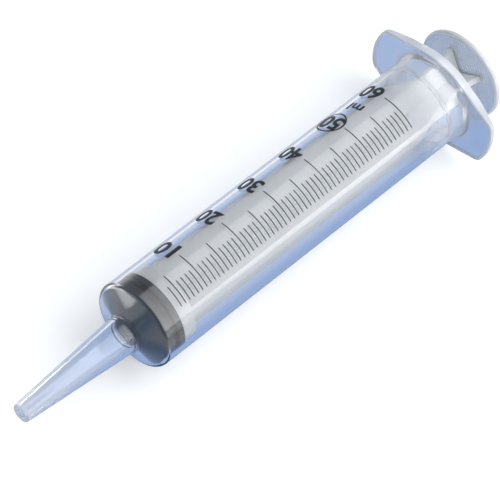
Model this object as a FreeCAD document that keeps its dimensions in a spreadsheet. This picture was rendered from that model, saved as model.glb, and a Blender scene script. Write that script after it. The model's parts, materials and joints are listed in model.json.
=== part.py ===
"""A 60 ml catheter-tip syringe, lying on its side with the plunger pushed home.

The syringe has three moulded pieces: a clear barrel with a long tapering nozzle and a winged finger flange,
a rubber stopper with two sealing ribs, and a plunger rod with a snap head, crossed ribs and a thumb disc.
The shoulder and the root of the flange are rounded. Smaller edges are only bevelled, which takes few facets.

Every piece is drawn in the syringe's own frame: x runs along the axis from the tip of the nozzle to the thumb
disc, and y is the distance from the axis. The pieces are then laid down together. The barrel lies on its rounded
shoulder and on the lower edge of the flange, so the axis climbs by a small angle towards the thumb disc.
Lengths are in millimetres and angles in degrees.
"""
import FreeCAD, Part
import math
import os
import Sketcher

# Driving dimensions: name, value, meaning
SIZES = [
    ("tip_radius", 3.15, "nozzle, outside radius at its tip"),
    ("nozzle_length", 42.0, "tip of the nozzle to the cone of the shoulder"),
    ("nozzle_root_radius", 6.15, "nozzle, outside radius where it meets the cone"),
    ("nozzle_wall", 1.25, "wall of the nozzle, square to the axis"),
    ("tip_bevel", 0.4, "bevel of the nozzle's end"),
    ("root_bevel", 0.7, "bevel in the corner between nozzle and cone"),
    ("cone_rise", 4.0, "length of the shoulder's cone along the axis"),
    ("cone_wall", 1.55, "wall of the cone, along the axis"),
    ("tube_radius", 14.7, "tube, outside radius"),
    ("tube_wall", 1.35, "wall of the tube"),
    ("tube_length", 133.5, "cone to the open mouth"),
    ("shoulder_round", 1.8, "rounding between cone and tube"),
    ("corner_bevel", 0.5, "bevel in the corner inside the shoulder"),
    ("mouth_flare", 0.45, "widening of the bore at the mouth"),
    ("flare_length", 1.6, "length of that widening"),
    ("bead_setback", 10.35, "mouth to the front of the retaining bead"),
    ("bead_height", 0.35, "retaining bead, height inside the bore"),
    ("bead_width", 1.8, "retaining bead, width along the axis"),
    ("bead_slope", 0.6, "run of each side of the bead along the axis"),
    ("flange_thickness", 3.0, "finger flange at the tube"),
    ("wing_tip_thickness", 1.6, "finger flange at the ends of its wings"),
    ("wing_width", 10.3, "end of a wing beyond the tube"),
    ("flange_rise", 2.3, "upper or lower side of the flange beyond the tube"),
    ("side_radius", 22.0, "curve of the upper and lower side"),
    ("wing_taper", 22.0, "angle by which a wing's sides close towards its end"),
    ("wing_corner", 4.2, "rounding of the wings' corners"),
    ("flange_rim_bevel", 0.4, "bevel of the flange's edges"),
    ("flange_root_round", 1.7, "hollow between tube and flange"),
    ("seal_clearance", 0.04, "sealing rib to bore"),
    ("nose_gap", 0.35, "stopper to the inside of the cone, along the axis"),
    ("nose_radius", 3.6, "flat end of the stopper's nose"),
    ("front_land", 2.1, "width of the front sealing rib"),
    ("groove_width", 2.4, "groove between the sealing ribs"),
    ("groove_depth", 1.0, "depth of that groove"),
    ("groove_slope", 0.5, "run of each side of the groove along the axis"),
    ("rear_land", 2.1, "width of the rear sealing rib"),
    ("land_bevel", 0.3, "bevel of the sealing ribs and of the nose"),
    ("lip_length", 1.9, "lip of the stopper round the rod's neck"),
    ("pocket_length", 5.6, "hollow behind the lip that holds the rod's head"),
    ("pocket_radius", 8.7, "radius of that hollow"),
    ("pocket_nose_radius", 4.6, "radius of its front end"),
    ("neck_radius", 6.25, "rod, neck in the stopper's lip"),
    ("neck_clearance", 0.05, "neck to lip"),
    ("seat_gap", 0.1, "lip to the head in front of it and to the plate behind it"),
    ("head_gap", 0.3, "head of the rod to the hollow round it"),
    ("head_rim", 2.0, "straight rim of the head"),
    ("plate_clearance", 0.75, "front plate of the rod, and its skirt, to bore"),
    ("plate_thickness", 1.5, "front plate of the rod"),
    ("skirt_length", 5.3, "front plate and skirt along the axis"),
    ("skirt_wall", 1.3, "wall of the skirt"),
    ("plate_bevel", 0.3, "bevel of the plate's and the skirt's edge"),
    ("rib_clearance", 1.15, "edge of a rib to bore"),
    ("rib_thickness", 1.8, "thickness of a rib"),
    ("waist_half_width", 8.1, "axis to the edge of a rib at the mouth"),
    ("waist_length", 9.0, "narrow stretch of the ribs at the mouth"),
    ("waist_slope", 14.0, "length over which the ribs narrow"),
    ("gusset_reach", 9.8, "axis to the edge of a rib at the thumb disc"),
    ("gusset_length", 6.0, "length over which the ribs widen to the disc"),
    ("finger_gap", 10.0, "flange to thumb disc, plunger home"),
    ("disc_overhang", 1.0, "thumb disc beyond the tube, outwards"),
    ("disc_thickness", 1.9, "thumb disc without its ridges"),
    ("disc_bevel", 0.5, "bevel of the thumb disc's edges"),
    ("grip_margin", 2.3, "plain rim of the thumb disc outside its ridges"),
    ("ridge_height", 0.4, "height of the ridges"),
    ("ridge_pitch", 1.1, "ridge to ridge"),
    ("slot_width", 0.5, "slot between two ridges"),
    ("stop_gap", 0.3, "stopper to retaining bead at the end of the travel"),
    ("rod_turn", 50.5, "turn of the rod about the axis"),
]

doc = FreeCAD.newDocument("Syringe")
sheet = doc.addObject("Spreadsheet::Sheet", "Sizes")
for row, (name, value, meaning) in enumerate(SIZES, start=1):
    sheet.set("A%d" % row, meaning)
    sheet.set("B%d" % row, str(value))
    sheet.setAlias("B%d" % row, name)
doc.recompute()


def cell(name):
    """The value of one cell of the sheet."""
    return float(sheet.get(name))


def bound(text):
    """The same words with each size named as a cell of the sheet, for an expression."""
    out = text
    for name in sorted((size[0] for size in SIZES), key=len, reverse=True):
        out = out.replace("{%s}" % name, "Sizes." + name)
    return out


def value_of(text):
    """The number that an expression gives now."""
    return float(sheet.evalExpression(bound(text)))


# Places along the axis and radii, worked out from the driving dimensions
CONE_START = "{nozzle_length}"
CONE_END = "({nozzle_length} + {cone_rise})"
MOUTH = "(%s + {tube_length})" % CONE_END
BORE = "({tube_radius} - {tube_wall})"
NOZZLE_BORE = "({nozzle_root_radius} - {nozzle_wall})"
CONE_SLOPE = "({cone_rise} / ({tube_radius} - {nozzle_root_radius}))"


def inner_cone(radius):
    """Where the inside of the cone has this radius."""
    return "({nozzle_length} + {cone_wall} + (%s - {nozzle_root_radius}) * %s)" % (radius, CONE_SLOPE)


SEAL = "(%s - {seal_clearance})" % BORE
SEAL_START = "(%s + {nose_gap})" % inner_cone(SEAL)
GROOVE_START = "(%s + {front_land})" % SEAL_START
GROOVE_END = "(%s + {groove_width})" % GROOVE_START
STOPPER_BACK = "(%s + {rear_land})" % GROOVE_END
LIP_FRONT = "(%s - {lip_length})" % STOPPER_BACK
POCKET_FRONT = "(%s - {pocket_length})" % LIP_FRONT
HEAD_BACK = "(%s - {seat_gap})" % LIP_FRONT
HEAD_RIM_START = "(%s - {head_rim})" % HEAD_BACK
PLATE_FRONT = "(%s + {seat_gap})" % STOPPER_BACK
PLATE_BACK = "(%s + {plate_thickness})" % PLATE_FRONT
SKIRT_END = "(%s + {skirt_length})" % PLATE_FRONT
FLANGE_FRONT = "(%s - {flange_thickness})" % MOUTH
DISC_FRONT = "(%s + {finger_gap})" % MOUTH
DISC_BACK = "(%s + {disc_thickness})" % DISC_FRONT
GUSSET_START = "(%s - {gusset_length})" % DISC_FRONT
WAIST_START = "(%s - {waist_length})" % GUSSET_START
BEAD_START = "(%s - {bead_setback})" % MOUTH
BEAD_END = "(%s + {bead_width})" % BEAD_START
STROKE = "(%s - {stop_gap} - %s)" % (BEAD_START, STOPPER_BACK)
WING_REACH = "({tube_radius} + {wing_width})"
HALF_HEIGHT = "({tube_radius} + {flange_rise})"
PLATE_RADIUS = "(%s - {plate_clearance})" % BORE
RIB_REACH = "(%s - {rib_clearance})" % BORE
DISC_RADIUS = "({tube_radius} + {disc_overhang})"
GRIP_RADIUS = "(%s - {grip_margin})" % DISC_RADIUS


def plane(body, role):
    """One of the body's own origin planes."""
    for feature in body.Origin.OriginFeatures:
        if feature.Role == role:
            return feature
    raise ValueError(role)


def new_sketch(body, name, role, height=None, turn=None):
    """An empty sketch on an origin plane, lifted by a height and turned about the syringe's axis."""
    sketch = body.newObject("Sketcher::SketchObject", name)
    sketch.AttachmentSupport = (plane(body, role), [""])
    sketch.MapMode = "FlatFace"
    if turn is not None:
        about = FreeCAD.Vector(0, 0, 1) if role == "YZ_Plane" else FreeCAD.Vector(1, 0, 0)
        sketch.AttachmentOffset = FreeCAD.Placement(FreeCAD.Vector(), FreeCAD.Rotation(about, value_of(turn)))
        sketch.setExpression("AttachmentOffset.Rotation.Angle", bound(turn))
    if height is not None:
        sketch.setExpression("AttachmentOffset.Base.z", bound(height))
    return sketch


def arc_centre(start, end, radius, side):
    """Centre of an arc between two points; side +1 puts it on the left of the way from start to end."""
    chord = FreeCAD.Vector(end[0] - start[0], end[1] - start[1], 0)
    middle = FreeCAD.Vector((start[0] + end[0]) / 2, (start[1] + end[1]) / 2, 0)
    rise = math.sqrt(max(radius * radius - chord.Length ** 2 / 4, 0))
    normal = FreeCAD.Vector(-chord.y, chord.x, 0)
    normal.normalize()
    return middle + normal * rise * side


def outline(sketch, corners, arcs=None):
    """A closed outline through the corners, each placed by expressions.

    arcs gives, for the edge that starts at a corner's index, its radius and the side of its centre.
    """
    arcs = arcs or {}
    points = [(value_of(x), value_of(y)) for x, y in corners]
    count = len(points)
    for index in range(count):
        start = points[index]
        end = points[(index + 1) % count]
        if index not in arcs:
            sketch.addGeometry(Part.LineSegment(FreeCAD.Vector(*start, 0), FreeCAD.Vector(*end, 0)))
            continue
        radius = value_of(arcs[index][0])
        centre = arc_centre(start, end, radius, arcs[index][1])
        first = math.atan2(start[1] - centre.y, start[0] - centre.x)
        last = math.atan2(end[1] - centre.y, end[0] - centre.x)
        if arcs[index][1] < 0:
            first, last = last, first
        circle = Part.Circle(centre, FreeCAD.Vector(0, 0, 1), radius)
        sketch.addGeometry(Part.ArcOfCircle(circle, first, last))

    def ends(index):
        """Numbers of an edge's start and end point in the order of the outline."""
        return (2, 1) if index in arcs and arcs[index][1] < 0 else (1, 2)

    for index in range(count):
        after = (index + 1) % count
        sketch.addConstraint(Sketcher.Constraint("Coincident", index, ends(index)[1], after, ends(after)[0]))
    for index, (x, y) in enumerate(corners):
        for kind, axis, text, number in (("DistanceX", -2, x, 0), ("DistanceY", -1, y, 1)):
            if text == "0":
                sketch.addConstraint(Sketcher.Constraint("PointOnObject", index, ends(index)[0], axis))
                continue
            made = sketch.addConstraint(
                Sketcher.Constraint(kind, -1, 1, index, ends(index)[0], points[index][number]))
            label = "%s%d" % ("across" if number == 0 else "up", index)
            sketch.renameConstraint(made, label)
            sketch.setExpression("Constraints." + label, bound(text))
    for index, (radius, side) in arcs.items():
        made = sketch.addConstraint(Sketcher.Constraint("Radius", index, value_of(radius)))
        sketch.renameConstraint(made, "bend%d" % index)
        sketch.setExpression("Constraints.bend%d" % index, bound(radius))


def revolve(body, name, corners, arcs=None):
    """A solid turned about the syringe's axis."""
    sketch = new_sketch(body, name + "Profile", "XY_Plane")
    outline(sketch, corners, arcs)
    feature = body.newObject("PartDesign::Revolution", name)
    feature.Profile = sketch
    feature.ReferenceAxis = (sketch, ["H_Axis"])
    feature.Angle = 360
    doc.recompute()
    return feature


def pad(body, name, sketch, length, both_ways=False):
    """A solid drawn out of a sketch."""
    feature = body.newObject("PartDesign::Pad", name)
    feature.Profile = sketch
    feature.Midplane = both_ways
    feature.setExpression("Length", bound(length))
    doc.recompute()
    return feature


def dress(body, kind, prop, name, size, wanted):
    """Gives the edges of the body's tip for which wanted(edge) is true a fillet or a chamfer."""
    base = body.Tip
    names = ["Edge%d" % (number + 1) for number, edge in enumerate(base.Shape.Edges) if wanted(edge)]
    if not names:
        raise ValueError("no edge found for " + name)
    feature = body.newObject(kind, name)
    feature.Base = (base, names)
    feature.setExpression(prop, bound(size))
    doc.recompute()
    return feature


def fillet(body, name, radius, wanted):
    """Rounds edges of the body's tip."""
    return dress(body, "PartDesign::Fillet", "Radius", name, radius, wanted)


def bevel(body, name, size, wanted):
    """Bevels edges of the body's tip."""
    return dress(body, "PartDesign::Chamfer", "Size", name, size, wanted)


def ring_at(place, radius):
    """Tells whether an edge is a circle about the axis at this place and radius."""
    where = value_of(place)
    size = value_of(radius)

    def test(edge):
        if not isinstance(edge.Curve, Part.Circle):
            return False
        centre = edge.Curve.Center
        off_axis = math.hypot(centre.y, centre.z)
        return off_axis < 1e-3 and abs(centre.x - where) < 1e-3 and abs(edge.Curve.Radius - size) < 1e-3

    return test


def any_of(*tests):
    """Tells whether an edge passes one of several tests."""
    return lambda edge: any(test(edge) for test in tests)


def make_barrel():
    """Nozzle, shoulder, tube with its retaining bead, and the winged finger flange, moulded in one."""
    body = doc.addObject("PartDesign::Body", "Barrel")
    body.Label = "barrel"
    revolve(body, "Tube", [
        ("0", "({tip_radius} - {nozzle_wall})"),
        ("0", "{tip_radius}"),
        (CONE_START, "{nozzle_root_radius}"),
        (CONE_END, "{tube_radius}"),
        (MOUTH, "{tube_radius}"),
        (MOUTH, "(%s + {mouth_flare})" % BORE),
        ("(%s - {flare_length})" % MOUTH, BORE),
        (BEAD_END, BORE),
        ("(%s - {bead_slope})" % BEAD_END, "(%s - {bead_height})" % BORE),
        ("(%s + {bead_slope})" % BEAD_START, "(%s - {bead_height})" % BORE),
        (BEAD_START, BORE),
        (inner_cone(BORE), BORE),
        (inner_cone(NOZZLE_BORE), NOZZLE_BORE),
    ])
    fillet(body, "ShoulderRound", "{shoulder_round}", ring_at(CONE_END, "{tube_radius}"))
    bevel(body, "RootBevel", "{root_bevel}", ring_at(CONE_START, "{nozzle_root_radius}"))
    bevel(body, "CornerBevel", "{corner_bevel}", ring_at(inner_cone(BORE), BORE))
    bevel(body, "TipBevel", "{tip_bevel}", ring_at("0", "{tip_radius}"))
    add_flange(body)
    return body


def add_flange(body):
    """Two wings with closing sides and rounded ends; they grow thinner from the tube to their ends."""
    drop = "({side_radius} - %s)" % HALF_HEIGHT
    side_distance = "({side_radius} - %s * cos({wing_taper}))" % drop
    run = "sqrt(%s ^ 2 - %s ^ 2)" % (WING_REACH, side_distance)
    corner = ("(%s * sin({wing_taper}) + %s * cos({wing_taper}))" % (side_distance, run),
              "(%s * cos({wing_taper}) - %s * sin({wing_taper}))" % (side_distance, run))
    inside = "({tube_radius} - {tube_wall} / 3)"
    sketch = new_sketch(body, "FlangeOutline", "YZ_Plane", height=FLANGE_FRONT)
    outline(sketch, [
        (inside, "0"),
        (WING_REACH, "0"),
        corner,
        ("{side_radius} * sin({wing_taper})", "({side_radius} * cos({wing_taper}) - %s)" % drop),
        ("0", HALF_HEIGHT),
        ("0", inside),
    ], arcs={1: (WING_REACH, 1), 3: ("{side_radius}", 1), 5: (inside, -1)})
    quarter = pad(body, "FlangeQuarter", sketch, "{flange_thickness}")

    thin = "(%s + {wing_tip_thickness})" % FLANGE_FRONT
    behind = "(%s + {wing_corner})" % MOUTH
    beyond = "(%s + {wing_corner})" % WING_REACH
    slope = new_sketch(body, "WingSlope", "XY_Plane")
    outline(slope, [
        (MOUTH, "{tube_radius}"),
        (thin, WING_REACH),
        (thin, beyond),
        (behind, beyond),
        (behind, "{tube_radius}"),
    ])
    cut = body.newObject("PartDesign::Pocket", "WingBack")
    cut.Profile = slope
    cut.Midplane = True
    cut.setExpression("Length", bound("4 * %s" % WING_REACH))
    doc.recompute()
    whole = body.newObject("PartDesign::MultiTransform", "Flange")
    whole.Originals = [quarter, cut]
    steps = []
    for name, role in (("Sideways", "XZ_Plane"), ("Upward", "XY_Plane")):
        step = doc.addObject("PartDesign::Mirrored", name)
        step.MirrorPlane = (plane(body, role), [""])
        body.addObject(step)
        steps.append(step)
    whole.Transformations = steps
    body.Tip = whole
    doc.recompute()

    corner_y, corner_z = value_of(corner[0]), value_of(corner[1])
    front, reach = value_of(FLANGE_FRONT), value_of(HALF_HEIGHT)

    def wing_corner(edge):
        first, last = edge.Vertexes[0].Point, edge.Vertexes[-1].Point
        along = abs(first.y - last.y) < 1e-3 and abs(first.z - last.z) < 1e-3
        return along and abs(abs(first.y) - corner_y) < 1e-2 and abs(abs(first.z) - corner_z) < 1e-2

    def rim(edge):
        points = edge.discretize(5)
        outside = all(math.hypot(point.y, point.z) > reach - 1e-2 for point in points)
        along = abs(points[0].y - points[-1].y) < 1e-3 and abs(points[0].z - points[-1].z) < 1e-3
        return outside and not along and points[0].x > front - 1e-3

    fillet(body, "WingCorners", "{wing_corner}", wing_corner)
    bevel(body, "FlangeRim", "{flange_rim_bevel}", rim)
    fillet(body, "FlangeRoot", "{flange_root_round}", ring_at(FLANGE_FRONT, "{tube_radius}"))


def make_stopper():
    """Rubber stopper: a cone that fills the shoulder, two sealing ribs and a hollow for the rod's head."""
    body = doc.addObject("PartDesign::Body", "Stopper")
    body.Label = "stopper"
    nose = "(%s + {nose_gap})" % inner_cone("{nose_radius}")
    floor = "(%s - {groove_depth})" % SEAL
    throat = "({neck_radius} + {neck_clearance})"
    pocket_rim = "(%s - {head_gap})" % HEAD_RIM_START
    revolve(body, "Rubber", [
        (nose, "0"),
        (nose, "{nose_radius}"),
        (SEAL_START, SEAL),
        (GROOVE_START, SEAL),
        ("(%s + {groove_slope})" % GROOVE_START, floor),
        ("(%s - {groove_slope})" % GROOVE_END, floor),
        (GROOVE_END, SEAL),
        (STOPPER_BACK, SEAL),
        (STOPPER_BACK, throat),
        (LIP_FRONT, throat),
        (LIP_FRONT, "{pocket_radius}"),
        (pocket_rim, "{pocket_radius}"),
        (POCKET_FRONT, "{pocket_nose_radius}"),
        (POCKET_FRONT, "0"),
    ])
    bevel(body, "LandBevel", "{land_bevel}", any_of(
        ring_at(SEAL_START, SEAL), ring_at(GROOVE_START, SEAL),
        ring_at(GROOVE_END, SEAL), ring_at(STOPPER_BACK, SEAL)))
    bevel(body, "NoseBevel", "{land_bevel}", ring_at(nose, "{nose_radius}"))
    return body


def make_rod():
    """Snap head, front plate with its skirt, four ribs, and the ridged thumb disc, moulded in one."""
    body = doc.addObject("PartDesign::Body", "PlungerRod")
    body.Label = "plunger_rod"
    head = "({pocket_radius} - {head_gap})"
    head_nose = "({pocket_nose_radius} - {head_gap})"
    head_front = "(%s + {head_gap})" % POCKET_FRONT
    skirt_inside = "(%s - {skirt_wall})" % PLATE_RADIUS
    revolve(body, "HeadAndSkirt", [
        (head_front, "0"),
        (head_front, head_nose),
        (HEAD_RIM_START, head),
        (HEAD_BACK, head),
        (HEAD_BACK, "{neck_radius}"),
        (PLATE_FRONT, "{neck_radius}"),
        (PLATE_FRONT, PLATE_RADIUS),
        (SKIRT_END, PLATE_RADIUS),
        (SKIRT_END, skirt_inside),
        (PLATE_BACK, skirt_inside),
        (PLATE_BACK, "0"),
    ])
    bevel(body, "PlateBevel", "{plate_bevel}", any_of(
        ring_at(PLATE_FRONT, PLATE_RADIUS), ring_at(SKIRT_END, PLATE_RADIUS)))
    add_ribs(body)
    add_thumb_disc(body)
    return body


def add_ribs(body):
    """Four ribs in a cross: wide inside the barrel, narrow at its mouth, wider again at the disc."""
    root = "(%s - {plate_thickness} / 2)" % PLATE_BACK
    end = "(%s + {disc_thickness} / 2)" % DISC_FRONT
    middle = ("(%s - {waist_slope} / 2)" % WAIST_START, "((%s + {waist_half_width}) / 2)" % RIB_REACH)
    step = "((%s - {waist_half_width}) / 2)" % RIB_REACH
    bend = "((({waist_slope} / 2) ^ 2 + %s ^ 2) / (2 * %s))" % (step, step)
    rise = "({gusset_reach} - {waist_half_width})"
    gusset = "(({gusset_length} ^ 2 + %s ^ 2) / (2 * %s))" % (rise, rise)
    sketch = new_sketch(body, "RibOutline", "XY_Plane", turn="{rod_turn}")
    outline(sketch, [
        (root, "0"),
        (end, "0"),
        (end, "{gusset_reach}"),
        (DISC_FRONT, "{gusset_reach}"),
        (GUSSET_START, "{waist_half_width}"),
        (WAIST_START, "{waist_half_width}"),
        middle,
        ("(%s - {waist_slope})" % WAIST_START, RIB_REACH),
        (root, RIB_REACH),
    ], arcs={3: (gusset, -1), 5: (bend, -1), 6: (bend, 1)})
    rib = pad(body, "Rib", sketch, "{rib_thickness}", both_ways=True)
    cross = body.newObject("PartDesign::PolarPattern", "CrossedRibs")
    cross.Originals = [rib]
    cross.Axis = (plane(body, "X_Axis"), [""])
    cross.Angle = 360
    cross.Occurrences = 4
    body.Tip = cross
    doc.recompute()


def add_thumb_disc(body):
    """Thumb disc with a field of parallel ridges that run the way two of the ribs do."""
    ridge_top = "(%s + {ridge_height})" % DISC_BACK
    revolve(body, "ThumbDisc", [
        (DISC_FRONT, "0"),
        (ridge_top, "0"),
        (ridge_top, GRIP_RADIUS),
        (DISC_BACK, GRIP_RADIUS),
        (DISC_BACK, DISC_RADIUS),
        (DISC_FRONT, DISC_RADIUS),
    ])
    bevel(body, "DiscBevel", "{disc_bevel}", any_of(
        ring_at(DISC_FRONT, DISC_RADIUS), ring_at(DISC_BACK, DISC_RADIUS)))
    count = int(value_of("2 * %s / {ridge_pitch}" % GRIP_RADIUS))
    first = "(%d * {ridge_pitch} / 2)" % (count - 1)
    half_length = "(%s + {slot_width})" % GRIP_RADIUS
    sketch = new_sketch(body, "SlotOutline", "YZ_Plane", height=ridge_top, turn="{rod_turn}")
    outline(sketch, [
        ("-%s" % half_length, "(-%s - {slot_width} / 2)" % first),
        (half_length, "(-%s - {slot_width} / 2)" % first),
        (half_length, "(-%s + {slot_width} / 2)" % first),
        ("-%s" % half_length, "(-%s + {slot_width} / 2)" % first),
    ])
    slot = body.newObject("PartDesign::Pocket", "Slot")
    slot.Profile = sketch
    slot.setExpression("Length", bound("{ridge_height}"))
    doc.recompute()
    ridges = body.newObject("PartDesign::LinearPattern", "Ridges")
    ridges.Originals = [slot]
    ridges.Direction = (sketch, ["V_Axis"])
    ridges.Occurrences = count
    ridges.setExpression("Length", bound("%d * {ridge_pitch}" % (count - 1)))
    body.Tip = ridges
    doc.recompute()


def resting_place():
    """Placement that lays the syringe on the floor, and the angle by which its axis climbs.

    It touches the floor with the front edge of the flange, behind the bevel, and with the rounded shoulder,
    which has the floor as its tangent.
    """
    cone_angle = math.atan2(cell("cone_rise"), cell("tube_radius") - cell("nozzle_root_radius"))
    tangent = cell("shoulder_round") * math.tan((math.pi / 2 - cone_angle) / 2)
    shoulder_x = value_of(CONE_END) + tangent
    shoulder_y = cell("tube_radius") - cell("shoulder_round")
    rim_x = value_of(FLANGE_FRONT) + cell("flange_rim_bevel")
    rim_y = value_of(HALF_HEIGHT)
    along = rim_x - shoulder_x
    across = rim_y - shoulder_y
    climb = math.atan2(across, along) - math.asin(cell("shoulder_round") / math.hypot(along, across))
    height = shoulder_y * math.cos(climb) + cell("shoulder_round") - shoulder_x * math.sin(climb)
    back = value_of("%s + {ridge_height}" % DISC_BACK) * math.cos(climb)
    back += value_of(GRIP_RADIUS) * math.sin(climb)
    front = -(cell("tip_radius") - cell("tip_bevel")) * math.sin(climb)
    rotation = FreeCAD.Rotation(FreeCAD.Vector(0, -1, 0), math.degrees(climb))
    return FreeCAD.Placement(FreeCAD.Vector(-(front + back) / 2, 0, height), rotation), climb


pieces = [make_barrel(), make_stopper(), make_rod()]
place, climb = resting_place()
for piece in pieces:
    piece.Placement = place
doc.recompute()

for made in doc.Objects:
    if "Invalid" in made.State or "Error" in made.State:
        raise SystemExit("%s failed: %s" % (made.Name, made.State))
for piece in pieces:
    if piece.Shape.isNull() or not piece.Shape.isValid() or len(piece.Shape.Solids) != 1:
        raise SystemExit("%s is not one valid solid" % piece.Label)

os.makedirs("parts", exist_ok=True)
for piece in pieces:
    piece.Shape.exportStep("parts/%s.step" % piece.Label)
    box = piece.Shape.BoundBox
    print("%-12s volume %9.2f  x %8.3f to %8.3f  y %7.3f to %7.3f  z %7.3f to %7.3f" % (
        piece.Label, piece.Shape.Volume, box.XMin, box.XMax, box.YMin, box.YMax, box.ZMin, box.ZMax))
print("climb of the axis %.5f degrees, tip at x %.4f z %.4f" % (math.degrees(climb), place.Base.x, place.Base.z))
print("stopper %.4f to %.4f from the tip, travel %.3f" % (
    value_of(SEAL_START), value_of(STOPPER_BACK), value_of(STROKE)))
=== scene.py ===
# %% [markdown]
# # A clear 60 ml syringe with a catheter tip
# The syringe is three mouldings: a clear barrel, a rubber stopper and a milky plunger rod, with a
# scale printed on the barrel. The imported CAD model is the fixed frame. Each of its three nodes is
# a true solid, but its mesh is loose triangles, and clear plastic shows every one of them. So each
# moulding is modelled again here with clean rings of faces, in the same place and of the same
# size, and stands for its node.

# %% Load the frame
import bmesh
import bpy
import json
import math
from mathutils import Matrix, Vector


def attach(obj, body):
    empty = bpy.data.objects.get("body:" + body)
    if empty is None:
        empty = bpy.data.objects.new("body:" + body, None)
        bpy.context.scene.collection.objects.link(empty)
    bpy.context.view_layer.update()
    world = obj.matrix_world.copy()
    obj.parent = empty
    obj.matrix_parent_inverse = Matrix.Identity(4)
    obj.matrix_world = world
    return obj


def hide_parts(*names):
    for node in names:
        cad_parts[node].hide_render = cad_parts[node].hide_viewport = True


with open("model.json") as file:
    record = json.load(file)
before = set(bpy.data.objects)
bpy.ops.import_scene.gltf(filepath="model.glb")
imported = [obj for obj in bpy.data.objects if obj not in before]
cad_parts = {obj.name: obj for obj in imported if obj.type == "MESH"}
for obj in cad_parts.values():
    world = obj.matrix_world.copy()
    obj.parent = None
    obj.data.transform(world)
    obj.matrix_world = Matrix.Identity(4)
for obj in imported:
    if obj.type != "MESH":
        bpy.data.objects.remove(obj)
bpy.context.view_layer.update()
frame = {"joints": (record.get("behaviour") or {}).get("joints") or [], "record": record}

# %% [markdown]
# ## The syringe's own axes
# A syringe is turned work, so everything on it is easiest to measure along and around its axis. It
# doesn't lie level: it rests on its shoulder and on the flange, and the axis climbs by one degree.
# The frame knows both the point at the tip and the direction of travel. A matrix made from them
# carries any piece that is modelled in millimetres along X into its true place, so no piece has to
# be modelled tilted.

# %% The matrix that lays a piece down
MILLIMETRE = 0.001
mounts = {mount["name"]: mount for mount in frame["record"]["mounts"]}
joints = {joint["name"]: joint for joint in frame["joints"]}
tip = Vector(mounts["nozzle"]["pos_m"])
along = Vector(joints["stopper_slide"]["axis"]).normalized()
across = Vector((0, 1, 0))
upward = along.cross(across)
TURN = Matrix((along, across, upward)).transposed().to_4x4()
LAID_DOWN = Matrix.Translation(tip) @ TURN @ Matrix.Scale(MILLIMETRE, 4)
print("axis climbs by", round(math.degrees(math.asin(along.z)), 3), "degrees")

# %% [markdown]
# ## Sizes
# All places are millimetres from the tip of the nozzle, and all radii are from the axis. Most
# follow from a few: the bore comes from the tube and its wall, and the stopper and the rod from
# the bore and their clearances.

# %% Sizes in millimetres
TIP_RADIUS = 3.15
NOZZLE_LENGTH = 42.0
NOZZLE_ROOT_RADIUS = 6.15
NOZZLE_WALL = 1.25
CONE_RISE = 4.0
CONE_WALL = 1.55
TUBE_RADIUS = 14.7
TUBE_WALL = 1.35
TUBE_LENGTH = 133.5
BORE = TUBE_RADIUS - TUBE_WALL
CONE_END = NOZZLE_LENGTH + CONE_RISE
MOUTH = CONE_END + TUBE_LENGTH
FLANGE_THICKNESS = 3.0
FLANGE_FRONT = MOUTH - FLANGE_THICKNESS
WING_REACH = 25.0
CONE_SLOPE = CONE_RISE / (TUBE_RADIUS - NOZZLE_ROOT_RADIUS)
SEAL_PLAY = 0.04
SEAL_RADIUS = BORE - SEAL_PLAY
CONE_GAP = 0.35


def inner_cone(radius):
    """Where the inside of the shoulder has this radius."""
    return NOZZLE_LENGTH + CONE_WALL + (radius - NOZZLE_ROOT_RADIUS) * CONE_SLOPE


SEAL_START = inner_cone(SEAL_RADIUS) + CONE_GAP
SEAL_WIDTH = 2.1
GROOVE_WIDTH = 2.4
STOPPER_BACK = SEAL_START + SEAL_WIDTH + GROOVE_WIDTH + SEAL_WIDTH
SEAT_GAP = 0.1
PLATE_THICKNESS = 1.5
PLATE_FRONT = STOPPER_BACK + SEAT_GAP
PLATE_BACK = PLATE_FRONT + PLATE_THICKNESS
DISC_FROM_MOUTH = 10.0
DISC_THICKNESS = 1.9
DISC_FRONT = MOUTH + DISC_FROM_MOUTH
DISC_BACK = DISC_FRONT + DISC_THICKNESS
RIB_THICKNESS = 1.8
GUSSET_REACH = 9.8
ROD_TURN = math.radians(50.5)
ZERO_MARK = 48.5
MILLILITRE = 1.783
print("mouth", MOUTH, "thumb disc", DISC_FRONT)
print("stopper", round(SEAL_START, 3), "to", round(STOPPER_BACK, 3))

# %% [markdown]
# ## Tools for drawing in edit mode
# A turned piece starts as a wire: half of its section, drawn corner by corner with extrude.
# Picking points in code is the same as clicking them, only by their place. Corners are rounded
# while the piece is still a wire, because a bevel on one point is easier than a bevel on the ring
# that it becomes.

# %% Selecting and drawing
STEPS = 256
ROUND_SEGMENTS = 6
NEAR = 1e-4
SMOOTH_ANGLE = math.radians(32)


def object_mode():
    """Leaves edit mode with nothing selected."""
    if bpy.context.object and bpy.context.object.mode != "OBJECT":
        bpy.ops.object.mode_set(mode="OBJECT")
    bpy.ops.object.select_all(action="DESELECT")


def edit(piece, mode="VERT"):
    """Enters edit mode on one piece, with all of it selected."""
    object_mode()
    bpy.context.view_layer.objects.active = piece
    piece.select_set(True)
    bpy.ops.object.mode_set(mode="EDIT")
    bpy.ops.mesh.select_mode(type=mode)
    bpy.ops.mesh.select_all(action="SELECT")


def pick(piece, kind, wanted):
    """In edit mode, selects the verts or edges for which wanted() is true, and nothing else."""
    bpy.ops.mesh.select_mode(type={"verts": "VERT", "edges": "EDGE"}[kind])
    bpy.ops.mesh.select_all(action="DESELECT")
    mesh = bmesh.from_edit_mesh(piece.data)
    picked = [part for part in getattr(mesh, kind) if wanted(part)]
    for part in picked:
        part.select_set(True)
    mesh.select_flush_mode()
    bmesh.update_edit_mesh(piece.data)


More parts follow.
